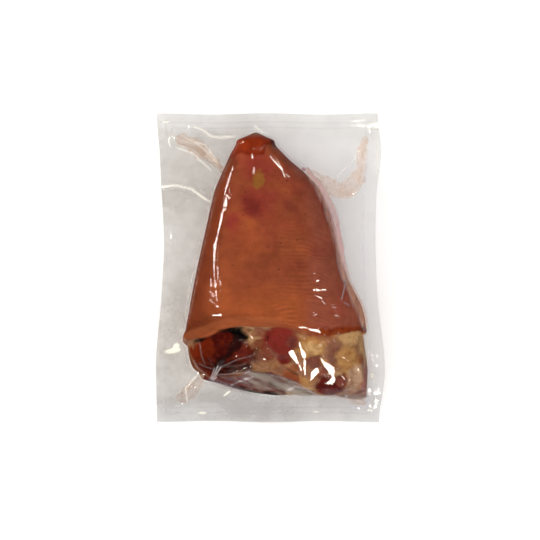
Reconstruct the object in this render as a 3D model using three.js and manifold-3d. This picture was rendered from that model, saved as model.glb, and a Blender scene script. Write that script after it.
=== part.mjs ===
// A smoked pork knuckle, shrink-tight in a clear vacuum bag, lying on its flat underside.
// The pack is one closed solid: the knuckle with the film drawn tight over it, the film's
// free margin all round, the web that the film makes where it leaves the meat, and the
// pleats that run out to the corners of the bag.
//
// Millimetres. +X is across the bag, +Y runs from the meat's cut end up to the shank end,
// +Z is up. The origin is on the floor, under the middle of the bag.

import * as THREE from "three";
import { mergeVertices } from "three/addons/utils/BufferGeometryUtils.js";
import Module from "manifold-3d";

// The bag, as it lies.
const BAG_WIDTH = 184;
const BAG_LENGTH = 248;
const FILM_THICKNESS = 1.2; // two walls of film, made thick enough to stand as a solid
const WEB_SLOPE = 2.2; // the tight film leaves the meat where the meat grows steeper than this
const WEB_ROUNDING = 2.6; // how softly the web runs out into the flat margin

// The knuckle. Each station is a cross-section of the limb: how far it reaches to the left and
// right, its crown, its underside, and the level where it is widest.
const STATIONS = [
  { y: -99, left: -60, right: 79.5, crown: 78, under: -3, widest: 14 },
  { y: -84, left: -65.5, right: 80.5, crown: 80, under: -5, widest: 22 },
  { y: -60, left: -70, right: 79, crown: 80, under: -6, widest: 31 },
  { y: -36, left: -65.5, right: 73, crown: 79, under: -6, widest: 34 },
  { y: -4, left: -59.5, right: 59.5, crown: 78, under: -6, widest: 35 },
  { y: 37, left: -50, right: 50.5, crown: 73, under: -6, widest: 34 },
  { y: 60, left: -44.5, right: 41.5, crown: 67, under: -4, widest: 33 },
  { y: 74, left: -39, right: 29.5, crown: 63, under: 1, widest: 32 },
  { y: 90, left: -32, right: 12, crown: 57, under: 7, widest: 31 },
  { y: 101, left: -27, right: 4, crown: 51, under: 12, widest: 31 },
];
const LEFT_SQUARENESS = 2.5; // exponents of the cross-section's superellipse
const RIGHT_SQUARENESS = 3.0;
const SHANK_END_DEPTH = 6.5; // how far the rounded shank end stands out past the last station
const SHANK_END_TAPER = 2.2; // above 1 the end comes to a soft point, below 1 it is blunt
const THICK_END_DEPTH = 5;
const THICK_END_TAPER = 0.7;

// The slanted cut across the thick end: it slopes down from the crown to the floor, turned a
// little to the left.
const CUT_NORMAL = new THREE.Vector3(-0.2, -0.77, 0.61).normalize();
const CUT_CROWN_POINT = new THREE.Vector3(0, -45, 80);
const CUT_SOFTNESS = 2.5; // radius-like width over which the cut's edge is rounded

// The rind stops short of the cut, and its rolled edge stands proud of the meat.
const RIND_EDGE_CROWN = -45;
const RIND_EDGE_LEFT = -62;
const RIND_EDGE_RIGHT = -50;
const RIND_STEP = 3; // how far the meat lies below the rind
const RIND_STEP_WIDTH = 5;
const RIND_ROLL = 1.6; // the swelling of the rind just before its edge
const RIND_ROLL_WIDTH = 7;

// Muscles and fat that bulge from the cut, by where they lie as seen from above.
const BULGES = [
  { x: -35, y: -67, across: 27, down: 22, rise: 9 }, // the large dark muscle
  { x: 8, y: -60, across: 15, down: 15, rise: 6 }, // the smaller red muscle
  { x: 13, y: -84, across: 17, down: 9, rise: 4 }, // fat and sinew below it
  { x: 50, y: -66, across: 24, down: 14, rise: 4 }, // fat round the joint
  { x: 52, y: -92, across: 17, down: 9, rise: 6 }, // the low dark muscle
  { x: 70, y: -90, across: 8, down: 12, rise: 4 }, // the flap at the right edge
];

// Pleats of loose film that run from the meat towards the corners, and stand apart there.
const PLEATS = [
  { path: [[-38, 82], [-50, 95], [-62, 100], [-75, 103]], width: 5, rise: 3.6 },
  { path: [[-46, 52], [-58, 60], [-72, 64], [-86, 65]], width: 2.6, rise: 2.2 },
  { path: [[38, 74], [52, 62], [66, 66], [73, 84], [75, 103]], width: 5, rise: 3.6 },
  { path: [[-58, -82], [-66, -94], [-73, -106]], width: 4, rise: 3.2 },
  { path: [[68, -100], [72, -108]], width: 5, rise: 3 },
  { path: [[-26, 104], [-50, 106], [-64, 112]], width: 2.4, rise: 1.8 },
];

// The margin's level along the bag: it meets the knuckle where the knuckle is widest.
const SEAM_LEVELS = [
  { y: -124, level: 9 },
  { y: -104, level: 13 },
  { y: -60, level: 30 },
  { y: 0, level: 35 },
  { y: 60, level: 33 },
  { y: 104, level: 30 },
  { y: 124, level: 24 },
];
const SIDE_DROOP = 6; // how far the sides of the bag hang below the level of the seam
const MARGIN_WAVE = 1.3;
const LEAST_CLEARANCE = 0.4; // between the free film and the floor
const WEB_GAP = 0.8; // the film starts this far below the skin it leaves
const HIDDEN_OVERLAP = 10; // and this far in from the knuckle's outline

// How far each side of the bag is drawn in from its full width by the vacuum.
const SIDE_DRAWN_IN = [
  { y: -124, left: 0.4, right: 4.5 },
  { y: -84, left: 0, right: 0 },
  { y: -20, left: 5, right: 6.5 },
  { y: 20, left: 7, right: 8 },
  { y: 60, left: 5, right: 7 },
  { y: 92, left: 3.4, right: 3.4 },
  { y: 124, left: 1, right: 6 },
];
const END_WAVE = 1.1;

// Counts of facets.
const TURNS = 52; // round the limb
const LIMB_RINGS = 40;
const CAP_RINGS = 5;
const EDGE_ACROSS = 28; // along each end of the bag
const EDGE_ALONG = 38;
const BAND_ROWS = 12; // from the meat to the edge of the bag
const BAND_GRADING = 1.25; // the rows lie closer together beside the meat
const SLIVER_LIMIT = 0.03; // facets that matter less than this are merged

const { cos, sin, abs, sign, hypot, min, max, exp, log, sqrt, PI } = Math;

// A smooth value of one column of a table at y: a Hermite curve through its rows, whose slopes
// are limited so that it never overshoots them.
function along(table, column, y) {
  const last = table.length - 1;
  const at = (i) => table[i][column];
  const step = (i) => (at(i + 1) - at(i)) / (table[i + 1].y - table[i].y);
  const slope = (i) => {
    if (i === 0 || i === last) return 0;
    const before = step(i - 1);
    const after = step(i);
    return before * after <= 0 ? 0 : (2 * before * after) / (before + after);
  };
  const rising = [...table.keys()].slice(0, last);
  const i = rising.filter((k) => (y - table[k].y) * (y - table[k + 1].y) <= 0)[0];
  if (i === undefined) return abs(y - table[0].y) < abs(y - table[last].y) ? at(0) : at(last);
  const span = table[i + 1].y - table[i].y;
  const t = (y - table[i].y) / span;
  const ease = t * t * (3 - 2 * t);
  const leave = t * (1 - t) * (1 - t);
  const arrive = t * t * (t - 1);
  return at(i) * (1 - ease) + at(i + 1) * ease + span * (slope(i) * leave + slope(i + 1) * arrive);
}

const smoothstep = (t) => {
  const c = min(1, max(0, t));
  return c * c * (3 - 2 * c);
};

// Where the rind ends, for a direction round the limb: 0 is right, a quarter turn is the crown.
function rindEdge(turn) {
  const side = cos(turn) > 0 ? RIND_EDGE_RIGHT : RIND_EDGE_LEFT;
  return RIND_EDGE_CROWN + (side - RIND_EDGE_CROWN) * cos(turn) ** 2;
}

// A point of the limb's skin, before the cut: a superellipse in the cross-section at y.
// scale shrinks the section towards its middle, as the rounded ends do.
function limbPoint(y, turn, scale = 1) {
  const left = along(STATIONS, "left", y);
  const right = along(STATIONS, "right", y);
  const middle = (left + right) / 2;
  const widest = along(STATIONS, "widest", y);
  const past = rindEdge(turn) - y; // how far beyond the rind's edge
  const shown = smoothstep(1 + 2.5 * sin(turn)); // the edge dies away towards the underside
  const inset = shown * RIND_STEP * smoothstep(past / RIND_STEP_WIDTH);
  const swelling = (past + RIND_ROLL_WIDTH / 2) / (RIND_ROLL_WIDTH / 2);
  const roll = shown * RIND_ROLL * exp(-(swelling ** 2));
  const squareness = cos(turn) > 0 ? RIGHT_SQUARENESS : LEFT_SQUARENESS;
  const pole = sin(turn) > 0 ? along(STATIONS, "crown", y) : along(STATIONS, "under", y);
  const acrossShare = sign(cos(turn)) * abs(cos(turn)) ** (2 / squareness);
  const upShare = abs(sin(turn)) ** (2 / squareness);
  const halfWidth = (right - left) / 2 - inset + roll;
  const height = abs(pole - widest) - inset + roll;
  return new THREE.Vector3(
    middle + scale * halfWidth * acrossShare,
    y,
    widest + scale * height * upShare * sign(pole - widest),
  );
}

// Rounds the slanted cut: a point beyond the plane is drawn back onto it along the normal, and
// pushed out again where a muscle bulges.
function cutThickEnd(point) {
  const beyond = CUT_NORMAL.dot(point) - CUT_NORMAL.dot(CUT_CROWN_POINT) + RIND_STEP;
  const removed = CUT_SOFTNESS * log(1 + exp(min(40, beyond / CUT_SOFTNESS)));
  const onTheCut = smoothstep(removed / (3 * CUT_SOFTNESS));
  point.addScaledVector(CUT_NORMAL, -removed);
  const rise = BULGES.map(({ x, y, across, down, rise: most }) => {
    const r = hypot((point.x - x) / across, (point.y - y) / down);
    return most * sqrt(max(0, 1 - r * r));
  });
  point.addScaledVector(CUT_NORMAL, onTheCut * max(...rise));
  point.z = max(0, point.z);
  return point;
}

// The knuckle's skin as rings of points, from the middle of the shank end to that of the cut.
function knuckleRings() {
  const shankEnd = STATIONS.at(-1).y;
  const thickEnd = STATIONS[0].y;
  const profile = [];
  for (let i = 0; i < CAP_RINGS; i++) {
    const bend = (PI / 2) * (i / CAP_RINGS);
    profile.push({ y: shankEnd, out: SHANK_END_DEPTH * cos(bend), scale: sin(bend) ** SHANK_END_TAPER });
  }
  for (let i = 0; i <= LIMB_RINGS; i++) {
    profile.push({ y: shankEnd + ((thickEnd - shankEnd) * i) / LIMB_RINGS, out: 0, scale: 1 });
  }
  for (let i = CAP_RINGS - 1; i >= 0; i--) {
    const bend = (PI / 2) * (i / CAP_RINGS);
    profile.push({ y: thickEnd, out: -THICK_END_DEPTH * cos(bend), scale: sin(bend) ** THICK_END_TAPER });
  }
  return profile.map(({ y, out, scale }) =>
    Array.from({ length: TURNS }, (_, k) => {
      const point = limbPoint(y, (2 * PI * k) / TURNS, scale);
      point.y += out;
      return cutThickEnd(point);
    }),
  );
}

// A closed geometry from rings of points, whose first and last ring each shrink to one point.
function skinOver(rings) {
  const positions = rings.flat().flatMap((p) => [p.x, p.y, p.z]);
  const faces = [];
  for (let i = 0; i + 1 < rings.length; i++) {
    for (let k = 0; k < TURNS; k++) {
      const a = i * TURNS + k;
      const b = i * TURNS + ((k + 1) % TURNS);
      faces.push(a, b, b + TURNS, a, b + TURNS, a + TURNS);
    }
  }
  const geometry = new THREE.BufferGeometry();
  geometry.setAttribute("position", new THREE.Float32BufferAttribute(positions, 3));
  return geometry.setIndex(faces);
}

// The distance from (x, y) to a line of points.
function distanceToLine(x, y, points) {
  let nearest = Infinity;
  for (let i = 0; i + 1 < points.length; i++) {
    const [ax, ay] = points[i];
    const [bx, by] = points[i + 1];
    const [dx, dy] = [bx - ax, by - ay];
    const t = min(1, max(0, ((x - ax) * dx + (y - ay) * dy) / (dx * dx + dy * dy)));
    nearest = min(nearest, hypot(x - ax - t * dx, y - ay - t * dy));
  }
  return nearest;
}

// How far the knuckle reaches from the middle of the bag along a heading, seen from above: the
// farthest crossing of the heading with the edges of its mesh.
function reachOf(rings, headX, headY) {
  const ahead = (p) => headX * p.x + headY * p.y;
  const aside = (p) => headX * p.y - headY * p.x;
  let reach = 0;
  rings.forEach((ring, i) =>
    ring.forEach((a, k) => {
      for (const b of [ring[(k + 1) % TURNS], rings[min(i + 1, rings.length - 1)][k]]) {
        if (aside(a) * aside(b) > 0 || aside(a) === aside(b)) continue;
        const t = aside(a) / (aside(a) - aside(b));
        reach = max(reach, ahead(a) + t * (ahead(b) - ahead(a)));
      }
    }),
  );
  return reach;
}

// The edge of the bag as points, round its four sides from the lower left corner.
function bagEdge() {
  const side = (count, place) => Array.from({ length: count }, (_, i) => place((2 * i) / count - 1));
  const at = (u, v) => {
    const y = (BAG_LENGTH / 2) * v - END_WAVE * (1 - cos(2 * PI * u)) * 0.5 * v * v * sign(v);
    const left = along(SIDE_DRAWN_IN, "left", (BAG_LENGTH / 2) * v) - BAG_WIDTH / 2;
    const right = BAG_WIDTH / 2 - along(SIDE_DRAWN_IN, "right", (BAG_LENGTH / 2) * v);
    return { x: left + ((right - left) * (u + 1)) / 2, y };
  };
  return [
    ...side(EDGE_ACROSS, (t) => at(t, -1)),
    ...side(EDGE_ALONG, (t) => at(1, t)),
    ...side(EDGE_ACROSS, (t) => at(-t, 1)),
    ...side(EDGE_ALONG, (t) => at(-1, -t)),
  ];
}

// A smooth larger one of two levels, rounded over a width where they cross.
const softMax = (a, b, width) => (a + b + sqrt((a - b) ** 2 + width * width)) / 2;

// The levels of the film's upper and lower wall at (x, y): out is 0 beside the meat and 1 at the
// edge of the bag. Each wall leaves the meat in a straight tent and runs out into the margin.
function filmWalls(x, y, out, skin) {
  const droop = SIDE_DROOP * smoothstep((abs(x) / (BAG_WIDTH / 2) - 0.6) / 0.5);
  const wave = MARGIN_WAVE * sin(y / 17 + x / 40) * smoothstep(out * 2);
  const middle = along(SEAM_LEVELS, "level", y) - droop + wave;
  const pleats = PLEATS.reduce((most, { path, width, rise }) => {
    const off = distanceToLine(x, y, path) / width;
    return max(most, rise * exp(-off * off));
  }, 0);
  const half = FILM_THICKNESS / 2 + pleats * smoothstep((1 - out) * 8);
  let tent = -Infinity;
  let hull = Infinity;
  for (const p of skin) {
    const fall = WEB_SLOPE * hypot(p.x - x, p.y - y) + WEB_GAP;
    tent = max(tent, p.z - fall);
    hull = min(hull, p.z + fall);
  }
  const rounding = 2 * WEB_ROUNDING * smoothstep((1 - out) * 4);
  return {
    upper: softMax(tent, middle + half, rounding),
    lower: max(LEAST_CLEARANCE, -softMax(-hull, half - middle, rounding)),
  };
}

// Where the tight film can rest on the skin: its points, the middles of its edges and the
// middles between those.
function restPoints(rings) {
  const middle = (a, b) => a.clone().lerp(b, 0.5);
  const finer = rings.map((ring) => ring.flatMap((p, k) => [p, middle(p, ring[(k + 1) % TURNS])]));
  const between = finer.slice(1).map((ring, i) => ring.map((p, k) => middle(p, finer[i][k])));
  return [...finer.flat(), ...between.flat()];
}

// The film's margin as a closed band round the knuckle. Its inner edge is hidden in the meat.
function marginGeometry(rings) {
  const skin = restPoints(rings);
  const edge = bagEdge();
  const walls = edge.map(({ x, y }) => {
    const full = hypot(x, y);
    const start = reachOf(rings, x / full, y / full) - HIDDEN_OVERLAP;
    return Array.from({ length: BAND_ROWS + 1 }, (_, j) => {
      const out = j / BAND_ROWS;
      const share = (start + (full - start) * out ** BAND_GRADING) / full;
      return { x: x * share, y: y * share, ...filmWalls(x * share, y * share, out, skin) };
    });
  });
  const rows = BAND_ROWS + 1;
  const positions = ["upper", "lower"].flatMap((wall) =>
    walls.flat().flatMap((p) => [p.x, p.y, p[wall]]),
  );
  const lower = edge.length * rows;
  const faces = [];
  const quad = (a, b, c, d) => faces.push(a, b, c, a, c, d);
  edge.forEach((_, k) => {
    const here = k * rows;
    const next = ((k + 1) % edge.length) * rows;
    for (let j = 0; j < BAND_ROWS; j++) {
      quad(here + j, here + j + 1, next + j + 1, next + j);
      faces.push(lower + here + j, lower + next + j + 1, lower + here + j + 1);
      faces.push(lower + here + j, lower + next + j, lower + next + j + 1);
    }
    const rim = BAND_ROWS;
    quad(lower + here + rim, lower + next + rim, next + rim, here + rim);
    quad(here, next, lower + next, lower + here);
  });
  const geometry = new THREE.BufferGeometry();
  geometry.setAttribute("position", new THREE.Float32BufferAttribute(positions, 3));
  return geometry.setIndex(faces);
}

const wasm = await Module();
wasm.setup();

function toSolid(geometry) {
  const merged = mergeVertices(geometry, 1e-3);
  return new wasm.Manifold(
    new wasm.Mesh({
      numProp: 3,
      vertProperties: merged.attributes.position.array,
      triVerts: new Uint32Array(merged.index.array),
    }),
  );
}

function toGeometry(solid) {
  const { vertProperties, triVerts, numProp } = solid.getMesh();
  const geometry = new THREE.BufferGeometry();
  const stored = new THREE.InterleavedBuffer(vertProperties, numProp);
  geometry.setAttribute("position", new THREE.InterleavedBufferAttribute(stored, 3, 0));
  geometry.setIndex([...triVerts]);
  geometry.computeVertexNormals();
  return geometry;
}

const rings = knuckleRings();
const knuckle = toSolid(skinOver(rings));
const margin = toSolid(marginGeometry(rings));

const pack = new THREE.Mesh(
  toGeometry(knuckle.add(margin).simplify(SLIVER_LIMIT)),
  new THREE.MeshStandardMaterial({ color: 0x94492c, roughness: 0.25, metalness: 0 }),
);
pack.name = "packed_knuckle";

const group = new THREE.Group();
group.add(pack);

export default group;
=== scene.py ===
import math

import bpy
import numpy as np
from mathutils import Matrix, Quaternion, Vector


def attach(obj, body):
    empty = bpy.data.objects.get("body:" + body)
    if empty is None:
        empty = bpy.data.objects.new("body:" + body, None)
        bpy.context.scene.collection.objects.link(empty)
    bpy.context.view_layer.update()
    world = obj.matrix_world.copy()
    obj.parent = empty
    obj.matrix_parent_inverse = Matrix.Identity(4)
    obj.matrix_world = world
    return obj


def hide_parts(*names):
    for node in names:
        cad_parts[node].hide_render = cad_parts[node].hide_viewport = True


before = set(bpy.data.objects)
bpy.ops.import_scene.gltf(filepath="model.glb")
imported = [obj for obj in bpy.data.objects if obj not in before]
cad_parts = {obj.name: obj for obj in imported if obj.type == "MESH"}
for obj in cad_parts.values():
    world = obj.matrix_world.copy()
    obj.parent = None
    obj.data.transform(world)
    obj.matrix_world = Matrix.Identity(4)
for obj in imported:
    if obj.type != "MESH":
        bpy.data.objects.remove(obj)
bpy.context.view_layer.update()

# The smoked knuckle: the upper part of a pig's leg, rind on, smoked until the skin is a firm
# orange-brown leather. It was sawn and cut at a slant through the thick end, where muscle, fat
# and joint show; the shank end is a rounded cap of darker skin.

MM = 0.001
LIMB = np.array(
    [  # y, left, right, crown, under, level where it is widest
        [-99, -60, 79.5, 78, -3, 14],
        [-84, -65.5, 80.5, 80, -5, 22],
        [-60, -68.8, 77.5, 80, -6, 31],
        [-36, -65.5, 74, 79, -6, 34],
        [-4, -59.5, 59.5, 78, -6, 35],
        [37, -50, 50.5, 73, -6, 34],
        [60, -44.5, 41.5, 67, -4, 33],
        [74, -39, 29.5, 63, 1, 32],
        [90, -32, 12, 57, 7, 31],
        [101, -27, 4, 51, 12, 31],
    ],
    float,
)
LEFT_SQUARENESS, RIGHT_SQUARENESS = 3.2, 3.0
SHANK_CAP, THICK_CAP = 6.5, 5.0
SHANK_TAPER, THICK_TAPER = 2.2, 0.7
CUT_NORMAL = np.array([-0.2, -0.77, 0.61])
CUT_NORMAL /= np.linalg.norm(CUT_NORMAL)
CUT_CROWN = np.array([0.0, -45.0, 80.0])
CUT_SOFTNESS, LOWEST_MEAT = 2.5, 0.5
RIND_STEP, RIND_STEP_WIDTH = 3.0, 3.5
RIND_ROLL, RIND_ROLL_WIDTH = 1.6, 7.0
RIND_EDGE = np.array([[-70, -61], [-62, -56.5], [-50, -52.5], [-40, -48.5], [-25, -46], [-8, -46.5],
                      [10, -46.5], [24, -49], [35, -52], [43, -53], [52, -51.8], [61, -50.4], [78, -51]])
MEAT_TURNS, FINE_TURNS, MEAT_ROWS, SHANK_ROWS, FACE_ROWS = 360, 7200, 190, 14, 58


def along(table, y, column):
    """A column of a table at y: between rows, a cubic with the rows' harmonic mean slopes."""
    rows, values = table[:, 0], table[:, column]
    step = np.diff(values) / np.diff(rows)
    before, after = step[:-1], step[1:]
    same_way = before * after > 0
    mean = np.where(same_way, 2 * before * after / np.where(same_way, before + after, 1), 0)
    slope = np.concatenate([[0], mean, [0]])
    y = np.clip(y, rows[0], rows[-1])
    i = np.clip(np.searchsorted(rows, y) - 1, 0, len(rows) - 2)
    span = rows[i + 1] - rows[i]
    t = (y - rows[i]) / span
    ease = t * t * (3 - 2 * t)
    bend = slope[i] * t * (1 - t) ** 2 + slope[i + 1] * t * t * (t - 1)
    return values[i] * (1 - ease) + values[i + 1] * ease + span * bend


def smooth(t):
    """0 below 0, 1 above 1, and 3t^2 - 2t^3 between."""
    t = np.clip(t, 0, 1)
    return t * t * (3 - 2 * t)


def ramp(value, start, width):
    """The smooth step from 0 where value is at start to 1 where it is start + width. A negative
    width makes it rise towards lower values."""
    return smooth((value - start) / width)


def bell(distance, width):
    """1 at no distance, falling as exp(-(distance/width)^2)."""
    return np.exp(-((distance / width) ** 2))


LATTICE, LATTICE_START = 32, 1000


def noise(points, size, seed):
    """Smooth random values from -1 to 1: a random lattice of that cell size, with the values
    at the corners of a cell blended by smoothed shares of the way across it."""
    lattice = np.random.default_rng(seed).uniform(-1, 1, (LATTICE, LATTICE, LATTICE))
    place = np.asarray(points, float) / size + LATTICE_START
    cell = np.floor(place).astype(int)
    share = smooth(place - cell)
    total = 0
    for corner in np.ndindex(2, 2, 2):
        weight = np.prod(np.where(corner, share, 1 - share), axis=-1)
        i, j, k = np.moveaxis((cell + corner) % LATTICE, -1, 0)
        total = total + weight * lattice[i, j, k]
    return total


def mottle(points, size, seed, octaves=3):
    """Noise with each finer octave half the size and half as strong."""
    layers = [noise(points, size / 2**n, seed + n) / 2**n for n in range(octaves)]
    return sum(layers) / (2 - 2.0 ** (1 - octaves))


def blob(x, y, cx, cy, across, down, turn=0):
    """1 at the middle of an ellipse, 0 at its edge and below 0 outside: one less its radius.
    turn is the angle of its across axis, in degrees."""
    c, s = math.cos(math.radians(turn)), math.sin(math.radians(turn))
    u, v = (x - cx) * c + (y - cy) * s, (y - cy) * c - (x - cx) * s
    return 1 - np.hypot(u / across, v / down)


def share_along(path):
    """How far along a line of points each of them is, 0 to 1."""
    length = np.hypot(*np.diff(np.asarray(path, float), axis=0).T)
    return np.concatenate([[0], np.cumsum(length)]) / length.sum()


def to_path(x, y, path):
    """The distance of each point from a line of points, and how far along it that is, 0 to 1."""
    reached = share_along(path)
    nearest = np.full(np.shape(x), np.inf)
    way = np.zeros(np.shape(x))
    for (ax, ay), (bx, by), start, end in zip(path[:-1], path[1:], reached[:-1], reached[1:]):
        dx, dy = bx - ax, by - ay
        t = np.clip(((x - ax) * dx + (y - ay) * dy) / (dx * dx + dy * dy), 0, 1)
        away = np.hypot(x - ax - t * dx, y - ay - t * dy)
        way = np.where(away < nearest, start + t * (end - start), way)
        nearest = np.minimum(nearest, away)
    return nearest, way


def limb(y, turn, scale):
    """A point of the limb before the cut: a superellipse in the cross-section at y, stepped in
    by RIND_STEP past the rind's edge and swollen by a bell curve just before it."""
    left, right, crown, under, widest = (along(LIMB, y, c) for c in range(1, 6))
    middle, half = (left + right) / 2, (right - left) / 2
    squareness = np.where(np.cos(turn) > 0, RIGHT_SQUARENESS, LEFT_SQUARENESS)
    across = np.sign(np.cos(turn)) * np.abs(np.cos(turn)) ** (2 / squareness)
    up = np.sign(np.sin(turn)) * np.abs(np.sin(turn)) ** (2 / squareness)
    edge = np.interp(middle + half * across, *RIND_EDGE.T)
    past = edge - y
    shown = smooth(1 + 2.5 * np.sin(turn))
    roll = RIND_ROLL * bell(past + RIND_ROLL_WIDTH / 2, RIND_ROLL_WIDTH / 2) * smooth(3.2 - 3.4 * across)
    out = shown * (roll - RIND_STEP * smooth(past / RIND_STEP_WIDTH))
    pole = np.where(np.sin(turn) > 0, crown - widest, widest - under)
    x = middle + scale * (half + out) * across
    z = widest + scale * (pole + out) * up
    return np.stack([x, y, z], -1)


def evenly_round(count):
    """Angles whose points lie evenly spaced round the limb's middle cross-section."""
    fine = np.linspace(0, 2 * math.pi, FINE_TURNS + 1)
    ring = limb(np.full(fine.shape, -20.0), fine, 1.0)
    return np.interp(np.arange(count) / count, share_along(ring[:, [0, 2]]), fine)


def softly_cut(point):
    """Draws what lies beyond the slanted plane back onto it, with a soft edge: the distance
    removed is the softplus of the distance beyond."""
    beyond = (point - CUT_CROWN) @ CUT_NORMAL + RIND_STEP
    removed = CUT_SOFTNESS * np.logaddexp(0, beyond / CUT_SOFTNESS)
    return point - removed[..., None] * CUT_NORMAL, smooth(removed / (3 * CUT_SOFTNESS))


def normals(grid):
    """Unit normals of a grid of points closed round its second way: the cross product of its
    two central differences."""
    ring = np.concatenate([grid[:, -1:], grid, grid[:, :1]], 1)
    across = np.cross(ring[:, 2:] - ring[:, :-2], np.gradient(grid, axis=0))
    return across / np.maximum(np.linalg.norm(across, axis=-1, keepdims=True), 1e-9)


shank_bend = np.linspace(0, 1, SHANK_ROWS, endpoint=False) * math.pi / 2
face_bend = np.linspace(1, 0, FACE_ROWS + 1)[1:]
body_y = np.linspace(LIMB[-1, 0], LIMB[0, 0], MEAT_ROWS)
row_y = np.concatenate([np.full(SHANK_ROWS, body_y[0]), body_y, np.full(FACE_ROWS, body_y[-1])])
row_scale = np.concatenate([np.sin(shank_bend) ** SHANK_TAPER, np.ones(MEAT_ROWS), face_bend])
thick_cap = THICK_CAP * np.sqrt(1 - face_bend ** (2 / THICK_TAPER))
row_cap = np.concatenate([SHANK_CAP * np.cos(shank_bend), np.zeros(MEAT_ROWS), -thick_cap])
meat = limb(*np.meshgrid(row_y, evenly_round(MEAT_TURNS), indexing="ij"), row_scale[:, None])
# The ends bulge by their caps. The cut's right corner and its middle stand out a little, and its
# left corner is drawn in.
meat[..., 1] += row_cap[:, None] * (0.7 + 0.5 * bell(meat[..., 0] + 12, 10))
meat[..., 1] -= 4.5 * ramp(meat[..., 0], 46, 26) * ramp(meat[..., 1], -84, -12)
meat[..., 1] += 5.6 * ramp(meat[..., 0], -20, -28) * ramp(meat[..., 1], -80, -12)
meat[..., 1] -= 2 * bell(meat[..., 0] - 4, 10) * ramp(meat[..., 1], -90, -8)
meat, on_face = softly_cut(meat)
past_edge = np.interp(meat[..., 0], *RIND_EDGE.T) - meat[..., 1]

# The cut face's relief: each muscle or lump of fat is a half ellipsoid on the slanted plane,
# by its place as seen from above, and the grooves between them are bell-shaped furrows.
MUSCLES = [  # x, y, half across, half down, turn, rise
    (-38.5, -67, 27, 18.5, 8, 8),
    (10, -59.5, 14, 13, 0, 4.5),
    (-4, -72, 10, 9, 0, 2),
    (13, -83, 15, 7, -20, 3),
    (34, -62, 9, 8, 0, 2.5),
    (56, -66, 16, 13, -10, 3.5),
    (34, -76, 7, 7, 0, 2.5),
    (42, -81, 3.5, 2.5, 0, 2),
    (44, -87, 7, 5, 15, 3.5),
    (48, -96, 13, 6, -4, 5),
    (57.5, -91, 6.5, 6.5, 0, 5),
    (70, -86, 6, 13, 8, 2.5),
]
GROOVES = [  # path, half width, depth, how dark it is painted
    ([(-23, -52), (-29.4, -65), (-35, -71.5), (-41, -78.5)], 2.7, 1.4, 0.9),
    ([(-11, -62), (-12, -68), (-15, -75), (-20, -83)], 1.2, 1.4, 0.4),
    ([(18, -56), (18.5, -64), (16, -70), (20, -78)], 1.2, 0.8, 0.2),
    ([(40, -90), (48, -91), (52, -88), (58, -85)], 1.0, 1.6, 0.4),
    ([(66, -70), (64, -82), (64, -96)], 1.6, 1.0, 0.08),
    ([(53, -66), (50, -78), (49, -84)], 1.4, 0.8, 0.15),
]
x, y = meat[..., 0], meat[..., 1]
swell = 4.5 * smooth(1.3 * blob(x, y, 36, -86, 30, 19))
rise = 0
for cx, cy, across, down, angle, most in MUSCLES:
    share = blob(x, y, cx, cy, across, down, angle)
    rise = np.maximum(rise, most * np.sqrt(np.clip(1 - (1 - share) ** 2, 0, 1)))
for path, half_width, depth, _ in GROOVES:
    away, way = to_path(x, y, path)
    rise = rise - depth * bell(away, half_width) * smooth(8 * way * (1 - way))
meat = meat + (on_face * (swell + rise))[..., None] * CUT_NORMAL

# Fine relief: soft lumps of the leg under the skin, wrinkles round the limb, the rough cut edge
# of the rind, the notch of the tendon at the shank end, and coarse fibre on the cut.
x, y, z = np.moveaxis(meat, -1, 0)
top = ramp(z, 22, 20)
ragged = past_edge + 1.6 * ramp(x, 22, 15) * mottle(meat, 3.6, 36, 2)
rind = smooth(0.5 - ragged / 1.2)
rind[-FACE_ROWS:] = 0
wrinkled = top * rind * ramp(x, -12, 30) * ramp(x, 52, -14) * ramp(y, 45, -25)
round_limb = y + 0.004 * (x - 10) ** 2 + 2.5 * noise(meat, 17, 5)
ripple = np.sin(1.9 * round_limb + 3 * noise(meat, 9, 6)) * smooth(0.35 + 0.9 * noise(meat, 8, 7))
lip_bands = bell(past_edge + 8.5, 1.3) - bell(past_edge + 11, 1.5)
lip_step = 0.4 * bell(past_edge + 3, 3.5) - 1.8 * smooth(past_edge / 1.4)
relief = (
    0.9 * rind * mottle(meat, 46, 1, 2)
    + 0.3 * wrinkled * ripple
    + 0.2 * lip_bands * top * ramp(x, 6, -20)
    + on_face * lip_step * ramp(x, 30, -15)
    + 0.6 * bell(past_edge + 0.5, 2.2) * ramp(x, 34, 8) * mottle(meat, 3.2, 8, 2)
    - 1.6 * np.maximum(blob(x, y, 4, 98, 3.2, 5), 0) * ramp(z, 25, 15)
    + (1 - rind) * on_face * (0.5 * mottle(meat, 7, 2) + 0.2 * mottle(meat, 2.4, 3, 2))
)
meat = meat + relief[..., None] * normals(meat)
meat[..., 2] = np.maximum(meat[..., 2], LOWEST_MEAT)


def colour(red, green, blue):
    """Linear light from a colour as a screen shows it, 0 to 255: the power 2.2 of its share."""
    return (np.array([red, green, blue]) / 255) ** 2.2


def laid_over(tint, layers):
    """A tint for each point, moved towards each layer's pigment in turn by its cover, 0 to 1."""
    for pigment, cover in layers:
        cover = np.clip(cover, 0, 1)[..., None]
        tint = tint * (1 - cover) + pigment * cover
    return tint


def patch(pigment, most, firmness, *ellipse):
    """A layer of pigment over an ellipse of the points x and y: its cover is most times the
    smooth step of firmness times the blob."""
    return pigment, most * smooth(firmness * blob(x, y, *ellipse))


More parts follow.
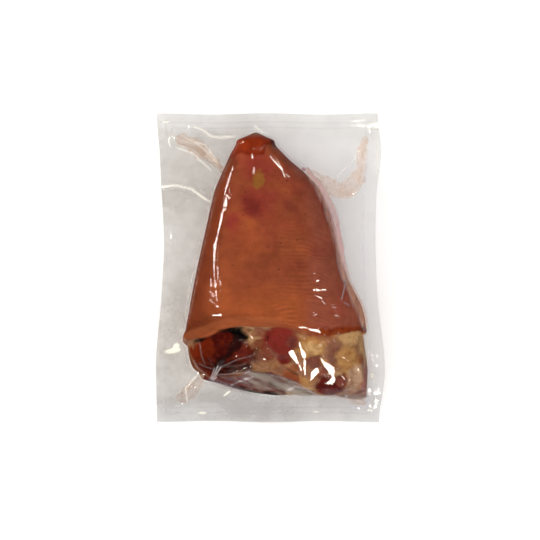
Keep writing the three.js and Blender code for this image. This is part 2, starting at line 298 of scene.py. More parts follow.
RIND, RIND_ORANGE, RIND_SHADE = colour(148, 75, 50), colour(174, 91, 53), colour(123, 57, 32)
CAP_SKIN, CAP_EDGE, CAP_TIP = colour(148, 53, 22), colour(112, 32, 16), colour(132, 84, 48)
TENDON, YELLOW_PATCH = colour(66, 12, 20), colour(156, 102, 50)
FLUSH, BRUISE, RIND_LIT = colour(150, 60, 52), colour(110, 42, 38), colour(164, 91, 73)
MUSCLE, DEEP_MUSCLE_AND_SHADE, CHAR, RIM = colour(74, 12, 5), colour(42, 3, 3), colour(6, 4, 4), colour(126, 42, 8)
RED_MUSCLE, PINK_TISSUE, BONE_TAN = colour(138, 48, 42), colour(144, 80, 60), colour(174, 124, 86)
FAT, YELLOW_FAT, TAN = colour(222, 178, 122), colour(206, 154, 92), colour(176, 128, 95)
MAUVE, BROWN_EDGE, BALL = colour(122, 74, 65), colour(150, 64, 24), colour(131, 73, 63)
STREAK_RED, STREAK_PALE, LIP = colour(172, 120, 118), colour(204, 168, 140), colour(180, 99, 60)
LOW_MUSCLE, UNDER_TENT, FOOT = colour(94, 18, 12), colour(124, 48, 42), colour(158, 112, 92)

points = meat + 3.0 * np.stack([mottle(meat, 7, seed, 3) for seed in (11, 12, 13)], -1)
points = points + 4.0 * np.stack([mottle(meat, 18, seed, 2) for seed in (14, 15, 16)], -1)
x, y, z = np.moveaxis(points, -1, 0)
left_edge, right_edge = along(LIMB, y, 1), along(LIMB, y, 2)
sideways = (2 * x - left_edge - right_edge) / (right_edge - left_edge)
cap_edge = 89 + 6 * ramp(x, -6, 6) + 2.4 * noise(meat, 6, 33)
speckle = mottle(meat, 2.6, 37)
tint = laid_over(RIND, [
    (RIND_ORANGE, 0.8 * smooth(0.4 + 1.4 * mottle(meat, 30, 21)) * smooth(1.3 - np.abs(sideways))),
    (RIND_ORANGE, 0.5 * smooth(1.6 * mottle(meat, 9, 28))),
    # A soft lighter band across the lower middle of the rind: painted sheen.
    (RIND_ORANGE, 0.8 * bell(y + 32, 14) * ramp(x, 44, -30)),
    (FLUSH, 0.6 * smooth(0.5 + 1.4 * mottle(meat, 22, 22)) * ramp(y, 5, 45)),
    # Darker down the left side of the limb, where it turns down: painted shade.
    (RIND_SHADE, 0.9 * ramp(-sideways, 0.6, 0.28)),
    # Lighter over the right side of the limb: painted light.
    (RIND_LIT, 0.6 * ramp(x, 22, 16)),
    (FLUSH, 0.5 * smooth(0.2 + 1.4 * mottle(meat, 14, 23)) * ramp(x, 20, 20)),
    patch(FLUSH, 0.85, 1.3, -30, 38, 11, 12, 20),
    patch(FLUSH, 0.8, 1.2, -12, 52, 17, 20),
    patch(BRUISE, 0.7, 1.2, -14, 51, 10, 17, 28),
    patch(BRUISE, 0.4, 1.4, 16, 50, 6, 10, 60),
    patch(BRUISE, 0.25, 1.5, 20, 2, 14, 7),
    patch(FLUSH, 0.8, 1.4, -8, 80, 22, 16),
    # Lighter on the right slope below the cap: painted light.
    patch(RIND_LIT, 0.8, 1.6, 25, 79, 12, 12),
    (YELLOW_PATCH, 0.9 * smooth(2.4 * blob(x, y, -9, 69.5, 7.5, 8) + 1.2 * mottle(meat, 4, 32))),
    (CAP_SKIN, 0.95 * ramp(y, cap_edge, 2)),
    (CAP_EDGE, 0.6 * bell(y - cap_edge - 1.6, 1.8) * smooth(1 + mottle(meat, 4, 36))),
    (CAP_EDGE, 0.5 * smooth(0.2 + mottle(meat, 5, 35)) * smooth(y - 92)),
    patch(CAP_TIP, 0.7, 1.5, -12, 107, 9, 4),
    (TENDON, 0.95 * smooth(2.5 * blob(x, y, 3.6, 98.5, 3, 4.4, 30)) * ramp(z, 25, 10)),
    (LIP, 0.6 * ramp(past_edge, -9, 2) * ramp(x, 20, -20)),
    # A dark line in the fold above the lip: painted shade.
    (RIND_SHADE, 0.25 * bell(past_edge + 9.5, 1.2) * ramp(x, 10, -20)),
    (BROWN_EDGE, ramp(x, 26, 14) * smooth((past_edge + 5.6 + 2 * mottle(meat, 4, 34)) / 2)),
    (CAP_EDGE, 0.6 * ramp(x, 26, 14) * bell(past_edge + 3, 3.4) * smooth(0.3 + 2 * speckle)),
])
streaky = mottle(meat * np.array([0.3, 1.0, 1.0]), 3.5, 25)
wear = 1 + 0.12 * mottle(meat, 12, 26) + 0.08 * mottle(meat, 3, 27) + 0.12 * top * streaky
# The wrinkles are also painted: light and dark lines that follow their ripple, a painted highlight and
# shade.
tint = tint * (wear - 0.2 * wrinkled * ripple)[..., None]
face = laid_over(TAN, [
    (MAUVE, 0.3 * smooth(0.4 + mottle(meat, 11, 41))),
    (FAT, 0.7 * smooth(0.1 + 1.4 * mottle(meat, 9, 42))),
    patch(BONE_TAN, 1, 3, -5, -76, 15, 9, -25),
    patch(PINK_TISSUE, 1, 2.4, -3, -68, 9, 9),
    patch(RIM, 0.75, 2.4, -8, -60, 6, 5),
    patch(FAT, 0.9, 3, -13.5, -52, 4, 5, 60),
    patch(PINK_TISSUE, 0.7, 3, -8, -50, 8, 4),
    patch(YELLOW_FAT, 1, 2.2, 31, -63.5, 15, 11),
    patch(FAT, 1, 2.4, 32.5, -63.5, 10, 7),
    patch(MAUVE, 0.5, 1.8, 50, -62, 9, 7),
    patch(MAUVE, 0.6, 1.8, 50, -71, 6, 9),
    patch(MAUVE, 0.6, 1.8, -11, -72, 6, 7),
    patch(MAUVE, 0.6, 1.8, 9, -81, 8, 4.5),
    patch(BROWN_EDGE, 0.6, 1.8, 19.5, -80.5, 6, 5),
    patch(MAUVE, 0.95, 2.2, 33.5, -76, 8, 8),
    patch(YELLOW_FAT, 0.8, 1.8, 62, -75, 11, 20, 6),
    patch(FAT, 0.95, 1.8, 64, -56.5, 15, 6.5, 4),
    (BROWN_EDGE, 0.6 * ramp(past_edge, 7, -6) * ramp(x, 12, 8) * ramp(x, 54, -8)),
    patch(FAT, 0.7, 2.4, 76, -64, 3.6, 15),
    patch(STREAK_PALE, 0.9, 2.0, 67, -88, 6, 14, -8),
    patch(BROWN_EDGE, 0.45, 2.2, 72, -73, 3, 6, -12),
    patch(STREAK_RED, 0.9, 2.2, 75.5, -90, 3.8, 18, -2),
    (LOW_MUSCLE, 0.8 * smooth(1.8 * blob(x, y, 69, -101, 9, 2.2, 28) + 0.4 * mottle(meat, 3, 47))),
    patch(BROWN_EDGE, 0.75, 2.0, 19, -89, 14, 5, -24),
    patch(DEEP_MUSCLE_AND_SHADE, 0.6, 2.0, 18, -84, 7, 2.2, -30),
    patch(YELLOW_FAT, 0.7, 2.0, 28, -91, 8, 4, -30),
    (RED_MUSCLE, smooth(3.4 * blob(x, y, 8.5, -58, 16.5, 15) + 0.5 * mottle(meat, 8, 50))),
    patch(RED_MUSCLE, 1, 3, 11, -70, 8, 8, -30),
    patch(DEEP_MUSCLE_AND_SHADE, 0.4, 1.8, 9, -74, 6, 4),
    patch(MAUVE, 0.6, 1.6, 17.5, -58, 6, 8),
    patch(RIM, 1, 5, -39.5, -68, 29.5, 21.5, 8),
    patch(MUSCLE, 1, 4, -36, -67, 25, 20, 8),
    patch(RED_MUSCLE, 0.3, 1.6, -22, -66, 8, 9, 40),
    patch(RIM, 0.6, 1.8, -52, -66, 9, 12, 10),
    (RIM, 0.4 * smooth(1.6 * mottle(meat, 6, 43)) * smooth(6 * blob(x, y, -37, -67, 26, 20, 8))),
    patch(DEEP_MUSCLE_AND_SHADE, 0.85, 1.8, -30, -81, 17, 6.5, 8),
    patch(BALL, 0.9, 4, 42, -80.5, 4, 3),
    patch(BALL, 0.9, 4, 44, -87, 7.5, 5, 15),
    patch(LOW_MUSCLE, 1, 4, 48, -96, 13, 6.5, -4),
    patch(BALL, 1, 4, 57.3, -90.6, 5.6, 6.2),
    (FOOT, 0.9 * ramp(y, -100.5, -2)),
])
veins = smooth(1 - 9 * np.abs(mottle(meat, 10, 48, 2)))
veins = veins + 0.6 * smooth(1 - 9 * np.abs(mottle(meat, 5, 49, 2)))
MUSCLE_RIM = [(-57, -56.5), (-61, -58.5), (-64, -62), (-65, -68), (-63.5, -73), (-59, -78), (-54, -84)]
rim_cover = smooth(1.6 - to_path(x, y, MUSCLE_RIM)[0] / 1.2)
face = laid_over(face, [
    (BROWN_EDGE, 0.2 * veins),
    (RIM, 0.3 * smooth(2.4 * mottle(meat, 2.6, 46))),
    (BONE_TAN, 0.55 * rim_cover),
])
# Each furrow is painted dark: partly the deep red of the meat there, partly painted shade.
for path, half_width, _, dark in GROOVES:
    face = laid_over(face, [(DEEP_MUSCLE_AND_SHADE, dark * smooth(1.7 - to_path(x, y, path)[0] / half_width))])
CUT_FOOT = np.array([[-47, -86], [-25, -86], [-18, -81.5], [0, -84], [10, -86.5], [20, -90], [30, -96],
                     [38, -100.5], [45, -103]])
under_tent = ramp(y, np.interp(x, *CUT_FOOT.T), -2) * ramp(x, 40, -12)
face = laid_over(face, [
    (UNDER_TENT, under_tent),
    (DEEP_MUSCLE_AND_SHADE, 0.6 * under_tent * smooth(1.8 * mottle(meat * np.array([0.5, 1, 1]), 4, 45))),
    patch(CHAR, 0.9, 2, 1, -102.5, 13, 4.5, -6),
    patch(CHAR, 0.7, 2, 3, -94, 6, 2),
    patch(FAT, 0.8, 2, 18, -98.5, 9, 3.4),
])
CHAR_LINE = [(-60, -57.5), (-55, -56), (-50, -54.3), (-41, -50.8), (-34, -49.3), (-24, -49.5), (-18, -51.5)]
char_width = 1.7 + 3.4 * bell(x + 26, 9) + 1.2 * noise(meat, 4, 51)
char_cover = smooth(1.4 - to_path(x, y, CHAR_LINE)[0] / np.maximum(char_width, 0.3))
face = laid_over(face, [(CHAR, char_cover)])
face = face * (1 + 0.15 * mottle(meat, 3.4, 44))[..., None]
tint = tint * rind[..., None] + face * (1 - rind[..., None])


def keep_on_points(mesh, name, values, tube):
    """Stores a number or a colour for each point of a mesh."""
    coloured = values.ndim == 3
    if tube:
        inner = values[1:-1].reshape(-1, *values.shape[2:])
        values = np.concatenate([values[:1, 0], inner, values[-1:, 0]])
    if coloured:
        values = values.reshape(-1, 3)
        values = np.concatenate([values, np.ones((len(values), 1))], -1)
        layer = mesh.color_attributes.new(name, "FLOAT_COLOR", "POINT")
        layer.data.foreach_set("color", values.astype(np.float32).ravel())
    else:
        layer = mesh.attributes.new(name, "FLOAT", "POINT")
        layer.data.foreach_set("value", values.astype(np.float32).ravel())


def mesh_from_grid(name, grid, tube=False, **on_points):
    """A mesh with a face for each four neighbours of a grid of points. A tube's last column
    joins its first, and its first and last rows are each drawn together into one point. It
    carries the further grids by their names, for its material to read."""
    count, width = grid.shape[:2]
    number = np.arange(count * width).reshape(count, width)
    points, ends = grid.reshape(-1, 3), np.zeros((0, 3), int)
    if tube:
        points = np.concatenate([grid[:1, 0], grid[1:-1].reshape(-1, 3), grid[-1:, 0]])
        number = np.arange(1, len(points) - 1).reshape(count - 2, width)
        number = np.concatenate([number, number[:, :1]], 1)
        tip, other_tip = np.zeros(width, int), np.full(width, len(points) - 1)
        first = np.stack([tip, number[0, 1:], number[0, :-1]], -1)
        last = np.stack([other_tip, number[-1, :-1], number[-1, 1:]], -1)
        ends = np.concatenate([first, last])
    quads = np.stack([number[:-1, :-1], number[:-1, 1:], number[1:, 1:], number[1:, :-1]], -1)
    corners = np.concatenate([quads.ravel(), ends.ravel()])
    starts = np.concatenate([np.arange(0, quads.size, 4), quads.size + np.arange(0, ends.size, 3)])
    made = bpy.data.meshes.new(name)
    made.vertices.add(len(points))
    made.vertices.foreach_set("co", (points * MM).astype(np.float32).ravel())
    made.loops.add(len(corners))
    made.loops.foreach_set("vertex_index", corners.astype(np.int32))
    made.polygons.add(len(starts))
    made.polygons.foreach_set("loop_start", starts.astype(np.int32))
    made.polygons.foreach_set("use_smooth", np.ones(len(starts), bool))
    made.update(calc_edges=True)
    for kept, values in on_points.items():
        keep_on_points(made, kept, values, tube)
    piece = bpy.data.objects.new(name, made)
    bpy.context.scene.collection.objects.link(piece)
    return piece


class Wire:
    """One output of a shader node. Arithmetic on wires adds the Math nodes that work it out."""

    def __init__(self, tree, socket=None):
        self.tree, self.socket = tree, socket

    def node(self, kind, inputs=(), output=0, **settings):
        """Adds a node: first its settings, then the values or wires of its inputs."""
        made = self.tree.nodes.new("ShaderNode" + kind)
        for name, value in settings.items():
            setattr(made, name, value)
        for place, value in dict(inputs).items():
            if isinstance(value, Wire):
                self.tree.links.new(value.socket, made.inputs[place])
            else:
                made.inputs[place].default_value = value
        return Wire(self.tree, made.outputs[output] if made.outputs else None)

    def maths(self, operation, other):
        """This wire and another wire or number through one Math node."""
        return self.node("Math", {0: self, 1: other}, operation=operation)

    def __add__(self, other):
        return self.maths("ADD", other)

    def __sub__(self, other):
        return self.maths("SUBTRACT", other)

    def __rsub__(self, other):
        return self.maths("SUBTRACT", other) * -1.0

    def __mul__(self, other):
        return self.maths("MULTIPLY", other)

    __radd__, __rmul__ = __add__, __mul__

    def between(self, low, high, start=0.0, end=1.0):
        """A smooth ramp from start, where this wire is at low or less, to end at high."""
        values = {"Value": self, "From Min": low, "From Max": high, "To Min": start, "To Max": end}
        return self.node("MapRange", values, interpolation_type="SMOOTHSTEP")

    def mixed(self, share, first, second, blend_type="MIX"):
        """A colour: first where share is 0 and, where it is 1, second blended into it."""
        values = {0: share, 6: first, 7: second}
        return self.node("Mix", values, 2, data_type="RGBA", blend_type=blend_type)


def new_material(name, piece):
    """A bare material on a piece, and a wire to build its nodes from."""
    material = bpy.data.materials.new(name)
    material.use_nodes = True
    material.node_tree.nodes.clear()
    piece.data.materials.append(material)
    return Wire(material.node_tree)


PORE_BROWN = (0.03, 0.006, 0.004, 1.0)
knuckle = mesh_from_grid("knuckle", meat, tube=True, tint=tint, rind=rind)

skin = new_material("smoked_rind_and_meat", knuckle)
place = skin.node("TexCoord", output="Object")
painted = skin.node("VertexColor", layer_name="tint")
is_rind = skin.node("Attribute", output="Fac", attribute_name="rind")
cloud = skin.node("TexNoise", {"Vector": place, "Scale": 160.0, "Detail": 5.0, "Roughness": 0.6})
fine = skin.node("TexNoise", {"Vector": place, "Scale": 900.0, "Detail": 3.0, "Roughness": 0.6})
stretched = skin.node("Mapping", {"Vector": place, "Scale": (1.0, 5.0, 1.0)})
grain = skin.node("TexNoise", {"Vector": stretched, "Scale": 240.0, "Detail": 4.0, "Roughness": 0.6})
cell = skin.node("TexVoronoi", {"Vector": place, "Scale": 210.0}, output="Distance")
pore = cell.between(0.07, 0.2, 1.0, 0.0) * cloud.between(0.5, 0.6) * is_rind
shade = 0.6 + 0.46 * cloud + 0.32 * fine
grey = skin.node("CombineColor", {0: shade, 1: shade, 2: shade})
varied = skin.mixed(1.0, painted, grey, "MULTIPLY")
final = skin.mixed(pore * 0.7, varied, PORE_BROWN)
height = 0.5 * cloud + 0.2 * fine + 0.5 * grain * is_rind - 0.6 * pore
bumped = skin.node("Bump", {"Height": height, "Strength": 0.35, "Distance": 0.0008})
skin.node("OutputMaterial", {"Surface": skin.node("BsdfPrincipled", {
    "Base Color": final,
    "Roughness": 0.42 + 0.2 * fine,
    "Specular IOR Level": 0.04,
    "Normal": bumped,
})})
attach(knuckle, "root")
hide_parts("packed_knuckle")

# The pouch: two sheets of clear film, sealed together round their edges. The vacuum has drawn
# them tight over the meat; beside it they bridge a small corner and lie on each other as a
# flat margin, with the seal's ribs along its edges and pleats that run out to its corners.

POUCH_WIDTH, POUCH_LENGTH = 184.0, 248.0
EDGE_IN = np.array(
    [  # y, drawn in at left, at right
        [-124, 0.4, 4.5],
        [-84, 0, 0],
        [-20, 5, 6.5],
        [20, 7, 8],
        [60, 5, 7],
        [92, 3.4, 3.4],
        [124, 1, 6],
    ],
    float,
)
END_WAVE = 1.1
SEAM = np.array([[-124, 9], [-104, 13], [-60, 30], [0, 35], [60, 33], [104, 30], [124, 24]], float)
SIDE_DROOP, MARGIN_WAVE = 6.0, 1.3
BRIDGE_RADIUS, BRIDGE_REACH, EDGE_REACH = 9, 8.5, 8
WEB_SLOPE, WEB_REACH, WEB_ROUNDING = 9.0, 17, 1.2
SEAL_FADE, ROUNDING_FADE, OUTER_RIB, INNER_RIB = 10, 25, 7, 11.5  # distances in from the edge
WEBS = [  # slope of the film where it leaves the meat, from these x and y to these
    (2.7, (18, 34), (90, 82)),
    (3.2, (18, 14), (90, 82)),
    (4.2, (18, -8), (90, 82)),
    (4.5, (-80, -62), (-60, -50)),
]
UPRIGHT, OVERHANG = 0.03, 0.02  # how far a normal leans up or down where film can rest
FILM_GAP, SHEET_GAP = 0.4, 0.35  # from film to meat, and half the gap between the sheets
CELL = 1.0
CELLS_FROM = np.array([-POUCH_WIDTH / 2 - 2, -POUCH_LENGTH / 2 - 2])
CELLS = (int(POUCH_WIDTH) + 5, int(POUCH_LENGTH) + 5)
NOWHERE, LEAST_WEIGHT, SLACK = -1000.0, 0.05, 0.1
FILM_ACROSS, FILM_ALONG = 296, 334


def level_map(points):
    """The mean level of points over each cell of a flat grid. Each point is shared among the
    four nearest cells by how near they are."""
    place = (points[:, :2] - CELLS_FROM) / CELL
    cell = np.floor(place).astype(int)
    share = place - cell
    weight, total = np.zeros(CELLS), np.zeros(CELLS)
    for corner in np.ndindex(2, 2):
        near = np.prod(np.where(corner, share, 1 - share), axis=-1)
        flat = np.ravel_multi_index(tuple((cell + corner).T), CELLS)
        weight += np.bincount(flat, near, weight.size).reshape(CELLS)
        total += np.bincount(flat, near * points[:, 2], weight.size).reshape(CELLS)
    return np.where(weight > LEAST_WEIGHT, total / np.maximum(weight, LEAST_WEIGHT), NOWHERE)


def spread(cells, reach, fall):
    """The upper envelope of one same peak stood on every cell: fall is how far the peak has
    dropped at a distance."""
    best = cells.copy()
    count = int(reach / CELL)
    wide = np.pad(cells, count, constant_values=NOWHERE)
    for i, j in np.ndindex(2 * count + 1, 2 * count + 1):
        away = math.hypot(i - count, j - count) * CELL
        if 0 < away <= reach:
            best = np.maximum(best, wide[i:i + CELLS[0], j:j + CELLS[1]] - fall(away))
    return best


def sampled(cells, x, y):
    """The map at any points, by straight lines between its cells."""
    u = np.clip((x - CELLS_FROM[0]) / CELL, 0, CELLS[0] - 1.001)
    v = np.clip((y - CELLS_FROM[1]) / CELL, 0, CELLS[1] - 1.001)
    i, j = u.astype(int), v.astype(int)
    s, t = u - i, v - j
    near = cells[i, j] * (1 - t) + cells[i, j + 1] * t
    far = cells[i + 1, j] * (1 - t) + cells[i + 1, j + 1] * t
    return near * (1 - s) + far * s


def softer(cells, times):
    """Each cell averaged with its four neighbours, a number of times."""
    for _ in range(times):
        wide = np.pad(cells, 1, mode="edge")
        around = wide[:-2, 1:-1] + wide[2:, 1:-1] + wide[1:-1, :-2] + wide[1:-1, 2:]
        cells = (4 * cells + around) / 8
    return cells


def drawn_tight(cells):
    """The level of film drawn over meat: it can't follow hollows narrower than a ball of
    BRIDGE_RADIUS, and leaves the meat beside its edge at WEB_SLOPE."""

    def ball(away):
        """How far a ball's surface has dropped at a distance from its crown."""
        return BRIDGE_RADIUS - math.sqrt(BRIDGE_RADIUS**2 - away**2)

    bridged = -spread(-spread(cells, BRIDGE_REACH, ball), BRIDGE_REACH, ball)
    return spread(np.maximum(cells, bridged), EDGE_REACH, lambda away: WEB_SLOPE * away)


def clear_of(cells, points):
    """The map raised wherever a point would stand through it by more than SLACK: each of the
    four cells round the point by as much as it lacks, eased off around them."""
    cell = np.floor((points[:, :2] - CELLS_FROM) / CELL).astype(int)
    lacks = points[:, 2] - sampled(cells, points[:, 0], points[:, 1]) - SLACK
    lift = np.zeros(CELLS)
    for corner in np.ndindex(2, 2):
        np.maximum.at(lift, tuple((cell + corner).T), lacks)
    return cells + np.maximum(lift, softer(lift, 3))


def soft_max(a, b, width):
    """The larger of two levels, rounded where they cross: half of their sum and of the root of
    their squared difference and the squared width."""
    return (a + b + np.sqrt((a - b) ** 2 + width**2)) / 2


def pouch_points(across, lengthwise):
    """A grid over the flat pouch: each side follows EDGE_IN, and each end a slight wave. Also
    gives the distance in from the nearest edge."""
    u, v = np.meshgrid(np.linspace(-1, 1, across), np.linspace(-1, 1, lengthwise))
    end = POUCH_LENGTH / 2
    wave = END_WAVE * (1 - np.cos(2 * math.pi * u)) * 0.5 * v * v * np.sign(v)
    left = along(EDGE_IN, end * v, 1) - POUCH_WIDTH / 2
    right = POUCH_WIDTH / 2 - along(EDGE_IN, end * v, 2)
    inwards = np.minimum((1 - np.abs(u)) * POUCH_WIDTH / 2, (1 - np.abs(v)) * end)
    return left + (right - left) * (u + 1) / 2, end * v - wave, inwards


def margin_level(x, y):
    """The level of the sealed margin: it meets the meat where that is widest, hangs a little
    at its sides and waves slightly."""
    droop = SIDE_DROOP * ramp(np.abs(x) / (POUCH_WIDTH / 2), 0.6, 0.5)
    return along(SEAM, y, 1) - droop + MARGIN_WAVE * np.sin(y / 17 + x / 40)


PLEATS = [  # path, half width, rise
    ([(-38, 82), (-50, 95), (-62, 100), (-75, 103)], 5.0, 3.6),
    ([(-46, 52), (-58, 60), (-72, 64), (-86, 65)], 2.2, 2.2),
    ([(38, 74), (52, 62), (66, 66), (73, 84), (75, 103)], 5.0, 3.6),
    ([(-58, -82), (-66, -94), (-73, -106)], 4.0, 3.2),
    ([(68, -100), (72, -108)], 5.0, 3.0),
    ([(-22, 105), (-42, 105), (-54, 110), (-64, 114)], 2.0, 2.0),
]


def pleat_rise(x, y):
    """The highest of the pleats at each point, each a bell-shaped ridge along its path."""
    return np.maximum.reduce([rise * bell(to_path(x, y, path)[0], wide) for path, wide, rise in PLEATS])


# The meat's points with those halfway between them, and how far each faces up.
half_turns = np.stack([meat, (meat + np.roll(meat, -1, 1)) / 2], 2).reshape(len(meat), -1, 3)
half_rows = (half_turns[1:] + half_turns[:-1]) / 2
finer = np.concatenate([half_turns.reshape(-1, 3), half_rows.reshape(-1, 3)])
facing = np.concatenate([normals(rows)[..., 2].ravel() for rows in (half_turns, half_rows)])
crest = level_map(finer[facing > UPRIGHT])
cell_x = CELLS_FROM[0] + CELL * np.arange(CELLS[0])[:, None]
cell_y = CELLS_FROM[1] + CELL * np.arange(CELLS[1])
tight_over = drawn_tight(crest)
for slope, (west, south), (east, north) in WEBS:
    leaves = (cell_x > west) & (cell_x < east) & (cell_y > south) & (cell_y < north)
    web = spread(np.where(leaves, crest, NOWHERE), WEB_REACH, lambda away, slope=slope: slope * away)
    tight_over = np.maximum(tight_over, web)
tight_over = clear_of(softer(tight_over, 2), finer[facing > -OVERHANG])

x, y, inwards = pouch_points(FILM_ACROSS, FILM_ALONG)
rim = smooth(inwards / SEAL_FADE)
flat_points = np.stack([x, y, 0 * x], -1)
crinkle = 0.5 * mottle(flat_points, 17, 61) + 0.16 * mottle(flat_points, 5, 62, 2)
crinkle = crinkle + 0.16 * np.minimum(pleat_rise(x, y), 2) * mottle(flat_points, 3.4, 66, 2)
ribs = bell(inwards - OUTER_RIB, 0.8) + bell(inwards - INNER_RIB, 0.7)
ribs = ribs * (0.2 + 0.8 * ramp(np.abs(y), 100, 10))
margin_top = margin_level(x, y) + rim * (SHEET_GAP + pleat_rise(x, y) + crinkle) + 0.25 * ribs
over_meat = sampled(tight_over, x, y) + FILM_GAP
upper = soft_max(over_meat, margin_top, 2 * WEB_ROUNDING * smooth(inwards / ROUNDING_FADE))

# Ridges where the film is gathered. Along each crest the film's haze is raised and tinted near white: a
# painted highlight.
CREASES = [  # path, half width, rise, haze of its painted highlight
    ([(-43, -80), (-35, -77), (-27, -73), (-20, -71), (-13, -69), (-12, -65)], 0.45, 0.3, 0.2),
    ([(-40, -79), (-30, -78), (-20, -77)], 0.4, 0.3, 0.12),
    ([(-45, -81), (-52, -79), (-58, -76)], 0.45, 0.3, 0.2),
    ([(-56.5, -57), (-56, -62), (-55, -70), (-52, -78)], 0.4, 0.3, 0.22),
    ([(-39, -78), (-43, -84), (-46, -90)], 0.6, 0.5, 0.65),
    ([(-41.5, -77), (-44.5, -84), (-47.5, -90)], 0.6, 0.5, 0.7),
    ([(-44.5, -79), (-46.5, -85), (-48.5, -90)], 0.5, 0.4, 0.6),
    ([(-13, -72), (-17, -80), (-22, -84)], 0.5, 0.3, 0.1),
    ([(-62, -73), (-58, -80), (-50, -86)], 0.6, 0.4, 0.2),
    ([(-47, -86), (-30, -84.5), (-20, -83.5), (-14, -80.5)], 0.5, 0.3, 0.25),
    ([(-32, -94), (-20, -89), (-14, -87)], 0.5, 0.3, 0.3),
    ([(12, -99), (20, -95), (28, -96), (40, -103)], 0.6, 0.3, 0.4),
    ([(60, -7.5), (58, -17), (55.6, -26)], 0.45, 0.2, 0.5),
    ([(57.5, -27), (60, -28), (62.6, -30)], 0.4, 0.2, 0.35),
    ([(74, -52), (75, -66), (73, -80)], 0.7, 0.3, 0.2),
    ([(62, -94), (60, -100), (61, -104)], 0.7, 0.4, 0.35),
    ([(-87, 65), (-75, 66), (-63, 63), (-55, 57), (-47, 52)], 0.55, 0.7, 1.0),
    ([(-75, 96), (-62, 92), (-55, 85), (-47, 78)], 0.4, 0.4, 0.35),
    ([(-63, 114), (-55, 111), (-47, 105), (-40, 104), (-28, 105)], 0.65, 0.6, 0.95),
    ([(-13, 114), (-10, 111), (-6, 108)], 0.8, 0.3, 0.6),
    ([(72, 94), (66, 86), (52, 72)], 0.45, 0.4, 0.45),
    ([(-60, 101), (-52, 98), (-46, 90), (-42, 83)], 0.4, 0.3, 0.35),
    ([(-68, 104), (-58, 99), (-50, 92), (-44, 84)], 0.35, 0.3, 0.3),
    ([(76, 100), (75, 86), (73, 72), (66, 63)], 0.4, 0.3, 0.3),
    ([(-67, -108), (-68, -96), (-57, -84)], 0.5, 0.3, 0.25),
    ([(84, 101), (86, 92), (85.4, 80), (86.4, 70)], 0.6, 0.3, 0.5),
]
gathered = 0
for path, half_width, rise, dense in CREASES:
    away, way = to_path(x, y, path)
    line = bell(away, half_width) * smooth(6 * way * (1 - way) + 0.2)
    upper = upper + rise * line
    gathered = np.maximum(gathered, dense * line)

# Painted highlights: small folds of the margin that lie across the light, painted white into the film's
# tint and haze.
GLARES = [  # x, y, half across, half down, turn
    (-78, -66, 8, 2.6, 10),
    (-75.5, -63.5, 3.4, 5, -20),
    (81.6, -86.5, 2.2, 3.6, -10),
    (84.6, -105.5, 0.9, 4.5, 5),
    (79, -114.5, 2, 1.2, 30),
    (-34.8, -100.5, 4.5, 1.2, 38),
    (-90, 88, 1.2, 5, 4),
    (84, 112, 6, 0.9, 0),
    (-84, 117, 5, 0.8, 0),
    (-55, -116.4, 4.5, 1.2, 0),
    (36.6, -115.5, 3.4, 0.8, 0),
]

